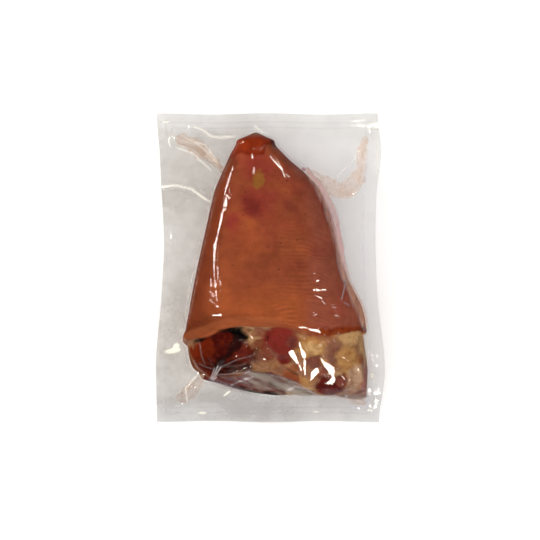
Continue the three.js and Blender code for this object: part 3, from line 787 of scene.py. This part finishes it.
# Taut facets of the film, which catch the lamps: along a path the film bridges small hollows
# as a chain of flat pieces, each as high as what lies under it needs, all with one slope.
FACET_LENGTH, FACET_BLEND = 12.0, 0.8
TO_FRONT, TO_BACK, TO_SIDE = (-0.085, 0.85), (-0.23, -0.55), (-0.35, 0.35)
LEFT_TO_FRONT, TO_NO_LAMP = (-0.158, 0.86), (0.1, 0.6)
FACETS = [  # slope towards +x and +y, then paths with the half width at their points
    (TO_FRONT, [
        [(16.8, -67.5, 3.0), (20.4, -73.5, 2.2), (24.4, -80, 1.5), (26.8, -86, 1.0)],
        [(22.8, -58.5, 0.8), (23.4, -63, 1), (26.2, -69, 2.4), (27, -74, 1.4), (27.2, -86, 0.9)],
        [(40, -70.5, 0.9), (41.4, -74, 1.5), (44.4, -77, 2.8), (48.4, -81, 2.8), (51, -85, 2.4),
         (49.4, -89, 2.4), (49.2, -92.5, 1.2)],
        [(48, -92.3, 0.9), (42.4, -91.2, 0.8)], [(47, -84, 1.0), (40, -84, 0.9)],
        [(52.4, -84.8, 1.0), (57, -85.6, 0.9), (60, -89, 0.8)],
        [(36, -81.5, 2.5), (34, -84.5, 2.9), (32, -89.7, 1.0)],
    ]),
    (TO_NO_LAMP, [[(15, -54.5, 2), (24, -55, 2)]]),
    (TO_FRONT, [
        [(22.6, -46.4, 1.3), (27.8, -46.6, 1.4)],
        [(30.6, -48.4, 1.4), (35, -48.6, 2.0), (39.6, -49.4, 1.2)],
    ]),
    (TO_NO_LAMP, [
        [(39, -54.8, 2), (49, -54.4, 2)], [(-29.5, -57, 2.4), (-25.5, -56, 2.4)],
    ]),
    (LEFT_TO_FRONT, [
        [(-8, -79.2, 0.9), (-11, -79.2, 0.8)], [(-7, -72, 0.8), (-3.5, -73.5, 0.8)],
        [(-28.6, -70.2, 0.8), (-27, -70.4, 0.8)], [(-48, -71.5, 0.8), (-46.6, -72.6, 0.8)],
    ]),
    (TO_FRONT, [
        [(-3, -60, 0.8), (-1.5, -60.2, 0.8)], [(-3, -63.6, 0.8), (-2, -63.7, 0.8)],
    ]),
    (LEFT_TO_FRONT, [[(-45.5, -37.5, 1.3), (-39.5, -36.8, 1.4)]]),
    ((0.58, -0.2), [[(-45.6, 1.5, 0.9), (-45.4, -2.5, 1.0)]]),
    ((0.56, -0.17), [[(-44.8, -6, 0.8), (-44.5, -7.5, 0.8)]]),
    ((0.53, -0.14), [[(-43.8, -10, 0.9), (-43.6, -14.5, 1.2)]]),
    ((0.48, -0.07), [[(-43, -18.5, 0.9), (-42.9, -22, 1.1)]]),
    ((0.46, -0.04), [[(-42.7, -25, 0.8), (-42.6, -26, 0.8)]]),
    ((0.43, -0.02), [[(-42.2, -30, 0.8), (-42, -31, 0.8)]]),
    (TO_SIDE, [
        [(36, -9.5, 1.2), (40, -10, 1.1)], [(34, -17, 1.4), (38.5, -17.3, 1.2)],
        [(41, -16.5, 1.2), (44.5, -17.2, 1.1)], [(37, -22.2, 1.3), (40.5, -23.4, 1.3)],
        [(40.5, -26.6, 1.1), (43, -27.6, 1.1)], [(34, -4, 1.0), (36, -4.2, 1.0)],
        [(33, -36.8, 1.0), (36, -37, 1.0)], [(49.5, -30.3, 1.1), (51.5, -31.2, 1.1)],
        [(51, -36.4, 1.0), (53.5, -38, 1.0)],
    ]),
    (TO_BACK, [
        [(3.5, 89, 0.3), (7, 84, 0.5), (9, 78, 0.8), (10.5, 73, 0.8), (11.5, 70, 0.8)],
        [(-14.5, 94.2, 0.9), (-5, 95.6, 0.9)], [(-14.5, 89.5, 1), (-14.7, 86.5, 0.8)],
        [(-13, 80, 0.8), (-13, 74.5, 0.8)],
    ]),
]
puckered = bell(x + 43.5, 6) * ramp(y, 8, -12) * ramp(y, -46, 6)
upper = upper + 0.4 * puckered * noise(flat_points, 2.0, 69)
for slope, path in [(slope, path) for slope, paths in FACETS for path in paths]:
    along_x, along_y, half_widths = np.array(path, float).T
    corners = np.stack([along_x, along_y], -1)
    reached = share_along(corners)
    away, way = to_path(x, y, corners)
    half_width = np.interp(way, reached, half_widths)
    length = np.hypot(np.diff(along_x), np.diff(along_y)).sum()
    count = max(1, round(length / FACET_LENGTH))
    part = np.minimum((way * count).astype(int), count - 1)
    plane = slope[0] * x + slope[1] * y
    lift = np.full(count, NOWHERE)
    within = away < half_width
    np.maximum.at(lift, part[within], (upper - plane)[within])
    upper = upper + (plane + lift[part] - upper) * ramp(away, half_width + FACET_BLEND, -FACET_BLEND)

# Along the left shoulder the film is drawn into one long flat edge: a strip that is level with
# the sheet along its middle line and slopes across it by the slope given at each point.
SHOULDER_EDGE = np.array(
    [  # x, y, half width, slope towards +x
        [-33, 63, 0.9, 0.84],
        [-33.5, 57, 2.4, 0.85],
        [-36.5, 49, 2.1, 0.85],
        [-39, 38, 1.6, 0.74],
        [-41, 30, 1.3, 0.72],
        [-42.5, 22, 1.8, 0.69],
        [-44, 14, 2.2, 0.64],
        [-45, 6, 1.3, 0.60],
        [-44.5, -4, 0.9, 0.53],
    ]
)
STRIP_RISE, STRIP_BLEND = 0.5, 0.7
away, way = to_path(x, y, SHOULDER_EDGE[:, :2])
near_x, near_y, half_width, slope = (
    np.interp(way, share_along(SHOULDER_EDGE[:, :2]), column) for column in SHOULDER_EDGE.T
)
half_width = half_width * (0.8 + 0.6 * noise(flat_points, 2.6, 67))
ruled = sampled(tight_over, near_x, near_y) + FILM_GAP + STRIP_RISE + slope * (x - near_x)
upper = upper + np.maximum(ruled - upper, 0) * ramp(away, half_width + STRIP_BLEND, -STRIP_BLEND)

# The film's haze and its tint, by place: faint where the film hugs the meat, stronger in the margin, and
# dense where wet film is drawn as a tent under the cut's lower edge. The margin's haze is painted darker to
# the left, at the top and most below the meat: painted shade and shadow. Over the tent the dense haze is
# partly the wet film's own milkiness and partly a painted reflection of the table.
MARGIN_SHADE, MARGIN_RIGHT = colour(164, 158, 149), colour(240, 243, 255)
MARGIN_SHADOW = colour(162, 157, 157)
LILAC, FOLD_BROWN, TENT_GREY = colour(250, 204, 202), colour(166, 112, 86), colour(160, 150, 140)
TENT_MAROON, GLARE = colour(140, 116, 120), colour(255, 253, 240)
CREASE, CREASE_ON_MEAT, FOOT_SHEEN = colour(255, 251, 240), colour(216, 204, 206), colour(176, 158, 152)
SEAM_LILAC, SHEEN_PEACH, DARK_TIP = colour(206, 206, 224), colour(255, 194, 164), colour(176, 84, 92)
SHOULDER = np.array([[-50, 74], [-30, 65.5], [-20, 61], [-10, 57], [10, 52], [30, 47], [50, 41],
                     [64, 35], [80, 25.5]])

on_meat = smooth(sampled(softer((crest > 0).astype(float), 2), x, y) * 2 - 0.5)
# Painted shade: the margin darker to the left and at the top right; painted shadow: darker still below the
# meat.
shade_to_left = ramp(x, 40, -80) * (1 - 0.4 * ramp(np.abs(y), 106, 8) * ramp(x, -20, -30))
shade_to_left = shade_to_left + 0.35 * shade_to_left * ramp(np.abs(y - 12), 16, 20) * ramp(np.abs(y), 90, -10)
low = ramp(y, -92, -16) * (0.6 + 0.55 * bell(x - 24, 48))
high = ramp(y, 96, 10) * ramp(x, -20, 30)
right_seam = bell(inwards - INNER_RIB, 1.7) * ramp(x, 60, 8) * ramp(y, 96, -20)
film_tint = laid_over(MARGIN_RIGHT, [
    (MARGIN_SHADE, np.maximum(shade_to_left, 0.8 * high)),
    (MARGIN_SHADOW, low),
    (SEAM_LILAC, 0.8 * right_seam),
])
margin_haze = 0.03 + 0.3 * shade_to_left + 0.27 * low + 0.06 * high + 0.12 * right_seam
haze = (1 - on_meat) * (margin_haze + 0.08 * ribs) + 0.004 * on_meat
tent = ramp(y, np.interp(x, *CUT_FOOT.T), -2) * ramp(x, -52, 6) * ramp(x, 46, -5) * on_meat
streaks = mottle(flat_points @ np.array([[0.12, 0.4, 0], [-0.05, 1.0, 0], [0, 0, 1]]), 3.6, 65)
# Over the tent the film is tinted grey, a painted reflection of the table, and maroon to the left, where it
# lightens the meat in shade under it: painted light.
film_tint = laid_over(film_tint, [(TENT_GREY, tent), (TENT_MAROON, tent * ramp(x, -10, -18))])
crinkles = mottle(flat_points @ np.array([[0.3, 0.3, 0], [-0.05, 1.0, 0], [0, 0, 1]]), 1.5, 70, 2)
tent_haze = 0.34 + 0.28 * ramp(x, -32, 26) + 0.6 * streaks + 0.35 * crinkles
tent_haze = tent_haze - 0.4 * smooth(2 * blob(x, y, 2, -101, 13, 5))
tent_haze = tent_haze - 0.12 * smooth(2 * blob(x, y, 3, -94, 7, 2.4))
haze = haze * (1 - tent) + tent * np.clip(tent_haze, 0.05, 0.85)
down_flank = mottle(flat_points @ np.array([[1.0, 0.2, 0], [0, 0.25, 0], [0, 0, 1]]), 3.4, 68)
lifted = ramp(over_meat, margin_top, 3)
past_shoulder = x - np.interp(y, *SHOULDER.T) + 1.5 * down_flank
# Along the meat's right side the film carries a pale peach sheen, and down the steep flank beyond it a
# lilac sheen: painted reflection, which also lightens the meat's shaded edge.
painted_sheen = smooth(past_shoulder / 3 + 0.4) * ramp(y, -54, 10) * np.maximum(on_meat, lifted)
painted_sheen = painted_sheen * ramp(y, 84, -8)
flank = painted_sheen * smooth(past_shoulder / 3.5 - 0.1) * ramp(y, -18, 26) * lifted
film_tint = laid_over(film_tint, [(SHEEN_PEACH, painted_sheen), (LILAC, flank)])
haze = np.maximum(haze, painted_sheen * (0.46 + 0.3 * down_flank))
haze = np.maximum(haze, flank * (0.78 + 0.36 * down_flank + 0.06 * (1 - on_meat)))
tip = smooth(3 * blob(x, y, 26.4, 78.6, 2.4, 1.8, -20))
corner = smooth(4 * blob(x, y, -69.5, -62, 3.6, 6.5, -25)) * ramp(over_meat, margin_top, 2)
# A pale grey veil of film over the cut's lower right foot: painted reflection.
foot_sheen = (0.2 * ramp(y, -94, -6) + 0.8 * ramp(y, -100.5, -2)) * ramp(x, 38, 6) * on_meat
for pigment, cover, dense in ((DARK_TIP, tip, 0.6), (FOLD_BROWN, corner, 0.7), (FOOT_SHEEN, foot_sheen, 0.45)):
    film_tint = laid_over(film_tint, [(pigment, cover)])
    haze = np.maximum(haze, dense * cover)
# The creases' painted highlights: near white, and lilac-grey where they lie over the meat.
crease_highlight = gathered > 0.02
film_tint = laid_over(film_tint, [(CREASE, crease_highlight), (CREASE_ON_MEAT, crease_highlight * on_meat)])
haze = np.maximum(haze, gathered)
# Each glare lays white into the film's tint and haze: a painted highlight.
for cx, cy, across, down, turn in GLARES:
    glare = smooth(3 * blob(x, y, cx, cy, across, down, turn))
    film_tint = laid_over(film_tint, [(GLARE, glare)])
    haze = np.maximum(haze, 0.9 * glare)

film_upper = mesh_from_grid("film_upper", np.stack([x, y, upper], -1), haze=haze, film_tint=film_tint)


WHITE, MOST_GLOSS = (1.0, 1.0, 1.0, 1.0), 0.12


def film_material(name, piece, through):
    """Clear film: see-through, in the colour of what passes through, dulled by its haze, with
    a sharp gloss that grows at a slant up to MOST_GLOSS."""
    film = new_material(name, piece)
    place = film.node("TexCoord", output="Object")
    hazy = film.node("Attribute", output="Fac", attribute_name="haze")
    wide = film.node("TexNoise", {"Vector": place, "Scale": 60.0, "Detail": 4.0})
    creased = film.node("TexNoise", {"Vector": place, "Scale": 420.0, "Detail": 4.0, "Roughness": 0.55})
    bumped = film.node("Bump", {"Height": creased + 0.5 * wide, "Strength": 0.1, "Distance": 0.0006})
    clear = film.node("BsdfTransparent", {"Color": through})
    tinted = film.node("VertexColor", layer_name="film_tint")
    dull = film.node("BsdfDiffuse", {"Color": tinted, "Normal": bumped})
    share = hazy * wide.between(0.3, 0.7, 0.8, 1.2)
    body = film.node("MixShader", {0: share, 1: clear, 2: dull})
    gloss = film.node("BsdfAnisotropic", {"Color": WHITE, "Roughness": 0.07, "Normal": bumped})
    mirrored = film.node("Fresnel", {"IOR": 1.5, "Normal": bumped}).maths("MINIMUM", MOST_GLOSS)
    surface = film.node("MixShader", {0: mirrored, 1: body, 2: gloss})
    film.node("OutputMaterial", {"Surface": surface})


film_material("clear_film_upper", film_upper, (0.95, 0.946, 0.94, 1.0))
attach(film_upper, "root")

# The lower sheet of the pouch: the same clear film as the upper, sealed to it along the margin
# and drawn up by the vacuum against the underside of the meat.

LOWER_ACROSS, LOWER_ALONG = 184, 248
LOWEST_FILM, LOWER_HAZE, LEAST_HAZE = 0.05, 0.07, 0.02
belly = level_map(finer[facing < -UPRIGHT] * np.array([1, 1, -1]))
x, y, inwards = pouch_points(LOWER_ACROSS, LOWER_ALONG)
rim = smooth(inwards / SEAL_FADE)
margin_bottom = margin_level(x, y) - rim * (SHEET_GAP + 0.6 * pleat_rise(x, y))
tight_under = clear_of(softer(drawn_tight(belly), 2), finer[facing < OVERHANG] * np.array([1, 1, -1]))
under_meat = sampled(tight_under, x, y) + FILM_GAP
lower = -soft_max(under_meat, -margin_bottom, 2 * WEB_ROUNDING * smooth(inwards / ROUNDING_FADE))
lower = np.maximum(lower, LOWEST_FILM)
hug = smooth((sampled(belly, x, y) + 3.5 + lower) / 2.5)
film_lower = mesh_from_grid(
    "film_lower",
    np.stack([x, y, lower], -1)[:, ::-1],
    haze=(LOWER_HAZE + (LEAST_HAZE - LOWER_HAZE) * hug)[:, ::-1],
    film_tint=np.broadcast_to(MARGIN_RIGHT, (*x.shape, 3)),
)
film_material("clear_film_lower", film_lower, (0.94, 0.94, 0.935, 1.0))
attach(film_lower, "root")

# Juice that the vacuum has drawn out of the meat, caught between the two sheets in the pleats
# that run out to the corners: flat, pale pink bodies that swell and thin along each pleat.

PUDDLES = [  # path with the half width at each point, seed, how milky
    ([(-37, 76, 3), (-44, 85, 5.5), (-53, 92, 6.5), (-62, 99, 8), (-76, 104, 9)], 71, 1.0),
    ([(28, 80, 3), (40, 71, 7), (52, 62, 9.5), (64, 63, 10), (72, 76, 7), (73, 90, 7), (76, 106, 6)],
     72, 0.65),
    ([(-54, -84, 3), (-58, -91, 6), (-64, -99, 7.5), (-70, -105, 7), (-76, -103, 5)], 73, 0.8),
    ([(63, -104, 4), (70, -106.5, 5), (78, -109, 4)], 74, 0.5),
]
PUDDLE_ROWS, PUDDLE_TURNS, PATH_ROUNDINGS = 150, 48, 60


def puddle(path, seed, milky):
    """A flat closed body along a path, and how full it is at each point. Across, it is an
    ellipse of the path's half width, varied by noise, that runs out at both ends. It is
    fullest in strands: ridges of noise stretched along the path."""
    corners = np.array(path, float)
    way = np.linspace(0, 1, PUDDLE_ROWS)
    line = np.stack([np.interp(way, share_along(corners[:, :2]), column) for column in corners.T], -1)
    for _ in range(PATH_ROUNDINGS):
        line[1:-1] = (line[:-2] + 2 * line[1:-1] + line[2:]) / 4
    ahead = np.gradient(line[:, :2], axis=0)
    ahead /= np.linalg.norm(ahead, axis=-1, keepdims=True)
    place = line * np.array([1, 1, 0]) + seed
    end = (4 * way * (1 - way)) ** 0.35
    half_width = line[:, 2] * end * (0.8 + 0.4 * mottle(place, 5, seed))
    turn = np.linspace(0, 2 * math.pi, PUDDLE_TURNS, endpoint=False)
    aside = half_width[:, None] * np.cos(turn) + 1.0 * noise(place, 4, seed + 5)[:, None]
    x = line[:, :1] - ahead[:, 1:] * aside
    y = line[:, 1:2] + ahead[:, :1] * aside
    pleat = pleat_rise(x, y)
    z = margin_level(x, y) + 0.2 * pleat + 0.3 * pleat * end[:, None] * np.sin(turn)
    run = np.concatenate([[0], np.cumsum(np.hypot(*np.diff(line[:, :2], axis=0).T))])
    strand_at = np.stack(np.broadcast_arrays(0.16 * run[:, None], aside, float(seed)), -1)
    strands = smooth(1.15 - 3.2 * np.abs(mottle(strand_at, 3.4, seed + 9, 2)))
    full = smooth(3 * end * end)[:, None] * np.abs(np.sin(turn)) ** 0.5
    return np.stack([x, y, z], -1), milky * full * (0.3 + 0.7 * strands)


for number, settings in enumerate(PUDDLES, 1):
    body, fullness = puddle(*settings)
    juice = mesh_from_grid(f"juice_{number}", body, tube=True, fullness=fullness)
    wet = new_material(f"juice_{number}", juice)
    place = wet.node("TexCoord", output="Object")
    full = wet.node("Attribute", output="Fac", attribute_name="fullness")
    cloudy = wet.node("TexNoise", {"Vector": place, "Scale": 150.0, "Detail": 5.0, "Roughness": 0.6})
    clear = wet.node("BsdfTransparent", {"Color": (0.99, 0.96, 0.94, 1.0)})
    milky = wet.node("BsdfDiffuse", {"Color": (0.98, 0.74, 0.6, 1.0)})
    share = full * cloudy.between(0.36, 0.64, 0.2, 0.6)
    wet.node("OutputMaterial", {"Surface": wet.node("MixShader", {0: share, 1: clear, 2: milky})})
    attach(juice, "root")

# The table the pack lies on: a plain pale surface, bright enough to leave hardly a shadow. Soft
# light comes from all round, from a ceiling, a narrow window at the left and three small lamps.

FLOOR_SIDE = 6.0
floor_grid = np.array([[[-1, -1, 0], [1, -1, 0]], [[-1, 1, 0], [1, 1, 0]]]) * FLOOR_SIDE / 2 / MM
floor = mesh_from_grid("floor", floor_grid)
paper = new_material("pale_table", floor)
paper.node("OutputMaterial", {"Surface": paper.node("BsdfPrincipled", {
    "Base Color": (0.86, 0.86, 0.86, 1.0),
    "Roughness": 0.8,
    "Emission Color": WHITE,
    "Emission Strength": 0.35,
})})
floor.visible_glossy = False

# The room's light is brightest at the height of the walls, dimmer overhead and faint below.
room = bpy.data.worlds.new("room")
room.use_nodes = True
sky = Wire(room.node_tree)
upwards = sky.node("SeparateXYZ", {0: sky.node("TexCoord", output="Generated")}, output=2)
backdrop = room.node_tree.nodes["Background"]
strength = upwards.between(-0.1, 0.12, 0.06, 0.5) * upwards.between(0.3, 0.95, 1.0, 0.2)
strength = strength + upwards.between(-0.9, -0.6, 0.6, 0.0)
room.node_tree.links.new(strength.socket, backdrop.inputs["Strength"])
bpy.context.scene.world = room


def lamp(name, at, towards, across, high, watts, shade=WHITE[:3], roll=0):
    """A rectangular soft lamp that faces a point, turned about that line by roll, in degrees."""
    light = bpy.data.lights.new(name, "AREA")
    light.color = shade
    light.shape = "RECTANGLE"
    light.size, light.size_y = across, high
    light.energy = watts
    stand = bpy.data.objects.new(name, light)
    bpy.context.scene.collection.objects.link(stand)
    stand.location = at
    stand.rotation_mode = "QUATERNION"
    facing = (Vector(towards) - Vector(at)).to_track_quat("-Z", "Y")
    stand.rotation_quaternion = facing @ Quaternion((0, 0, 1), math.radians(roll))
    return stand


CREAM, PACK_MIDDLE = (1.0, 0.93, 0.82), (0, 0, 0.04)
lamp("window_left", (-1.26, 0.43, 0.68), PACK_MIDDLE, 1.6, 0.1, 14, CREAM, roll=55)
lamp("lamp_front", (0.14, -1.15, 0.2), PACK_MIDDLE, 0.16, 0.13, 2.6, CREAM)
lamp("lamp_back", (0.42, 1.05, 0.63), PACK_MIDDLE, 0.1, 0.1, 1.2, CREAM)
lamp("lamp_side", (0.73, -0.73, 0.83), PACK_MIDDLE, 0.1, 0.1, 1.5, CREAM)
ceiling = lamp("ceiling", (0, 0, 2.2), (0, 0, 0), 2.4, 2.4, 43)
ceiling.visible_glossy = False
ceiling.visible_camera = False

# The camera hangs level over the middle of the pack and looks straight down, from far enough
# away that the pack's sides hardly show.
CAMERA_HEIGHT, FRAME_WIDTH, SENSOR = 3.0, 0.432, 36.0
FRAME_MIDDLE, PACK_LEVEL = (-0.0004, -0.0015), 0.025
eye = bpy.data.cameras.new("eye")
eye.sensor_width = SENSOR
eye.lens = SENSOR * CAMERA_HEIGHT / FRAME_WIDTH
camera = bpy.data.objects.new("eye", eye)
camera.location = (*FRAME_MIDDLE, CAMERA_HEIGHT + PACK_LEVEL)
bpy.context.scene.collection.objects.link(camera)
bpy.context.scene.camera = camera
bpy.context.scene.view_settings.view_transform = "Standard"
